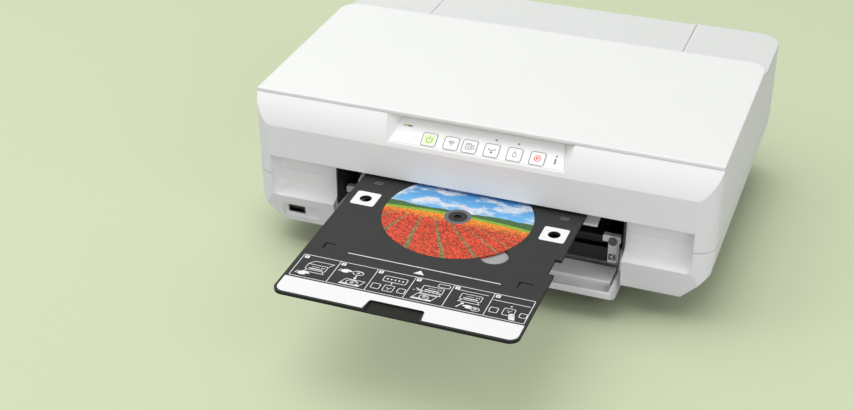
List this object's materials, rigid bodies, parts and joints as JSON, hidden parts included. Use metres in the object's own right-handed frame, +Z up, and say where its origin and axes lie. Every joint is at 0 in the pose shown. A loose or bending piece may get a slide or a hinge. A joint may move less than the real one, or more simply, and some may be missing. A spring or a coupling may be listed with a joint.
{
  "type": "disc label printer",
  "caption": "Desktop inkjet printer with an open front mouth, hinged lid and covers, paper cassettes and a sliding tray that carries a printable disc",
  "frame": {"origin": "centre of the bounding box at rest, on the floor", "axes": "+Z up, +Y from the control panel to the back, +X to the right of someone who faces the front"},
  "size_m": [0.39, 0.5128, 0.141],
  "materials": {
    "case_grey": "moulded, fine satin texture",
    "case_white": "smooth satin white",
    "dark_plastic": "matt black",
    "tray_plastic": "fine matt",
    "liner_plastic": "matt mid grey",
    "key_plastic": "smooth",
    "lamp_plastic": "clear dark",
    "guide_plastic": "light grey",
    "rubber": "matt",
    "belt_rubber": "matt",
    "steel": "zinc plated sheet",
    "shaft_steel": "ground and plated",
    "motor_steel": "rolled can",
    "gear_plastic": "natural acetal",
    "board": "circuit board",
    "socket_metal": "folded sheet",
    "felt": "absorbent felt",
    "disc_polycarbonate": "printable disc",
    "ink_1": "black label",
    "ink_2": "cyan label",
    "ink_3": "light cyan label",
    "ink_4": "magenta label",
    "ink_5": "light magenta label",
    "ink_6": "yellow label"
  },
  "bodies": {
    "printer": {"lower_case": "case_grey", "upper_case": "case_white", "tray_guides": "guide_plastic", "mouth_trim": "dark_plastic", "feet": "rubber", "usb_port": "socket_metal", "power_inlet": "dark_plastic", "power_supply": "dark_plastic", "main_board": "board", "waste_ink_pad": "felt", "rear_feed_chute": "dark_plastic", "control_panel": "key_plastic", "panel_board": "board", "panel_lamps": "lamp_plastic", "main_frame": "steel", "guide_shaft": "shaft_steel", "front_rail": "steel", "timing_belt": "belt_rubber", "carriage_motor": "motor_steel", "platen": "dark_plastic", "feed_motor": "motor_steel", "pinch_holder": "dark_plastic", "star_wheel_holder": "dark_plastic", "cap_base": "dark_plastic"},
    "lid": {"lid": "case_white"},
    "rear_feed_cover": {"rear_feed_cover": "case_white"},
    "rear_unit": {"rear_unit": "case_grey"},
    "front_cover": {"front_cover": "case_grey", "front_cover_liner": "liner_plastic"},
    "button_power": {"button_power": "key_plastic"},
    "button_radio": {"button_radio": "key_plastic"},
    "button_setup": {"button_setup": "key_plastic"},
    "button_feed": {"button_feed": "key_plastic"},
    "button_ink": {"button_ink": "key_plastic"},
    "button_stop": {"button_stop": "key_plastic"},
    "drive_pulley": {"drive_pulley": "gear_plastic"},
    "idler_pulley": {"idler_pulley": "gear_plastic"},
    "carriage": {"carriage": "dark_plastic", "printhead": "steel", "ink_cartridge_1": "ink_1", "ink_cartridge_2": "ink_2", "ink_cartridge_3": "ink_3", "ink_cartridge_4": "ink_4", "ink_cartridge_5": "ink_5", "ink_cartridge_6": "ink_6"},
    "feed_roller": {"feed_roller": "shaft_steel", "feed_gear": "gear_plastic"},
    "exit_roller": {"exit_roller": "rubber", "exit_gear": "gear_plastic"},
    "idler_gear": {"idler_gear": "gear_plastic"},
    "motor_pinion": {"motor_pinion": "gear_plastic"},
    "pinch_rollers": {"pinch_rollers": "dark_plastic"},
    "star_wheels": {"star_wheels": "steel"},
    "cap_sled": {"cap_sled": "dark_plastic"},
    "a4_cassette": {"a4_cassette": "dark_plastic", "cassette_arms": "guide_plastic"},
    "photo_cassette": {"photo_cassette": "dark_plastic"},
    "output_tray": {"output_tray": "dark_plastic"},
    "disc_tray": {"disc_tray": "tray_plastic"},
    "disc": {"disc": "disc_polycarbonate"}
  },
  "joints": [
    {"name": "lid_hinge", "type": "hinge", "parent": "printer", "child": "lid", "pos_m": [0, 0.116, 0.131], "axis": [-1, 0, 0], "range_deg": [0, 70]},
    {"name": "rear_feed_cover_hinge", "type": "hinge", "parent": "printer", "child": "rear_feed_cover", "pos_m": [0, 0.1914, 0.128], "axis": [-1, 0, 0], "range_deg": [0, 92]},
    {"name": "front_cover_hinge", "type": "hinge", "parent": "printer", "child": "front_cover", "pos_m": [0, -0.0506, 0.0372], "axis": [1, 0, 0], "range_deg": [-68, 0]},
    {"name": "rear_unit_slide", "type": "slide", "parent": "printer", "child": "rear_unit", "axis": [0, 1, 0], "range_m": [0, 0.06]},
    {"name": "a4_cassette_slide", "type": "slide", "parent": "printer", "child": "a4_cassette", "axis": [0, -1, 0], "range_m": [0, 0.2]},
    {"name": "photo_cassette_slide", "type": "slide", "parent": "printer", "child": "photo_cassette", "axis": [0, -1, 0], "range_m": [0, 0.12]},
    {"name": "output_tray_slide", "type": "slide", "parent": "printer", "child": "output_tray", "axis": [0, -1, 0], "range_m": [0, 0.11]},
    {"name": "disc_tray_slide", "type": "slide", "parent": "printer", "child": "disc_tray", "axis": [0, 1, 0], "range_m": [-0.04, 0.165]},
    {"name": "disc_spin", "type": "hinge", "parent": "disc_tray", "child": "disc", "pos_m": [-0.001, -0.1146, 0.0832], "axis": [0, 0, 1], "continuous": true},
    {"name": "button_power_press", "type": "slide", "parent": "printer", "child": "button_power", "axis": [0, 0.5299, -0.848], "range_m": [0, 0.0008], "stiffness_N_per_m": 400, "springref_m": -0.0003},
    {"name": "button_radio_press", "type": "slide", "parent": "printer", "child": "button_radio", "axis": [0, 0.5299, -0.848], "range_m": [0, 0.0008], "stiffness_N_per_m": 400, "springref_m": -0.0003},
    {"name": "button_setup_press", "type": "slide", "parent": "printer", "child": "button_setup", "axis": [0, 0.5299, -0.848], "range_m": [0, 0.0008], "stiffness_N_per_m": 400, "springref_m": -0.0003},
    {"name": "button_feed_press", "type": "slide", "parent": "printer", "child": "button_feed", "axis": [0, 0.5299, -0.848], "range_m": [0, 0.0008], "stiffness_N_per_m": 400, "springref_m": -0.0003},
    {"name": "button_ink_press", "type": "slide", "parent": "printer", "child": "button_ink", "axis": [0, 0.5299, -0.848], "range_m": [0, 0.0008], "stiffness_N_per_m": 400, "springref_m": -0.0003},
    {"name": "button_stop_press", "type": "slide", "parent": "printer", "child": "button_stop", "axis": [0, 0.5299, -0.848], "range_m": [0, 0.0008], "stiffness_N_per_m": 400, "springref_m": -0.0003},
    {"name": "carriage_slide", "type": "slide", "parent": "printer", "child": "carriage", "axis": [1, 0, 0], "range_m": [-0.224, 0]},
    {"name": "drive_pulley_turn", "type": "hinge", "parent": "printer", "child": "drive_pulley", "pos_m": [0.15, 0.06, 0.116], "axis": [0, 1, 0], "range_deg": [-2296.8, 1]},
    {"name": "idler_pulley_turn", "type": "hinge", "parent": "printer", "child": "idler_pulley", "pos_m": [-0.15, 0.0515, 0.116], "axis": [0, 1, 0], "range_deg": [-2296.8, 1]},
    {"name": "feed_roller_turn", "type": "hinge", "parent": "printer", "child": "feed_roller", "pos_m": [0, 0.038, 0.07565], "axis": [1, 0, 0], "continuous": true},
    {"name": "exit_roller_turn", "type": "hinge", "parent": "printer", "child": "exit_roller", "pos_m": [0, -0.016, 0.07565], "axis": [1, 0, 0], "continuous": true},
    {"name": "idler_gear_turn", "type": "hinge", "parent": "printer", "child": "idler_gear", "pos_m": [-0.1735, 0.01, 0.07565], "axis": [1, 0, 0], "continuous": true},
    {"name": "motor_pinion_turn", "type": "hinge", "parent": "printer", "child": "motor_pinion", "pos_m": [-0.1735, 0.05278, 0.05803], "axis": [1, 0, 0], "continuous": true},
    {"name": "pinch_rollers_turn", "type": "hinge", "parent": "printer", "child": "pinch_rollers", "pos_m": [0, 0.038, 0.0862], "axis": [1, 0, 0], "continuous": true},
    {"name": "star_wheels_turn", "type": "hinge", "parent": "printer", "child": "star_wheels", "pos_m": [0, -0.016, 0.0876], "axis": [1, 0, 0], "continuous": true},
    {"name": "cap_sled_lift", "type": "slide", "parent": "printer", "child": "cap_sled", "axis": [0, 0, 1], "range_m": [-0.004, 0]}
  ],
  "couplings": [
    {"joint": "drive_pulley_turn", "follows": "carriage_slide", "rad_per_m": 178.57},
    {"joint": "idler_pulley_turn", "follows": "carriage_slide", "rad_per_m": 178.57},
    {"joint": "exit_roller_turn", "follows": "feed_roller_turn", "ratio": 1.1333},
    {"joint": "idler_gear_turn", "follows": "feed_roller_turn", "ratio": -1.5455},
    {"joint": "motor_pinion_turn", "follows": "feed_roller_turn", "ratio": -2.8333},
    {"joint": "pinch_rollers_turn", "follows": "feed_roller_turn", "ratio": -1.9231},
    {"joint": "star_wheels_turn", "follows": "feed_roller_turn", "ratio": -1.4167}
  ]
}
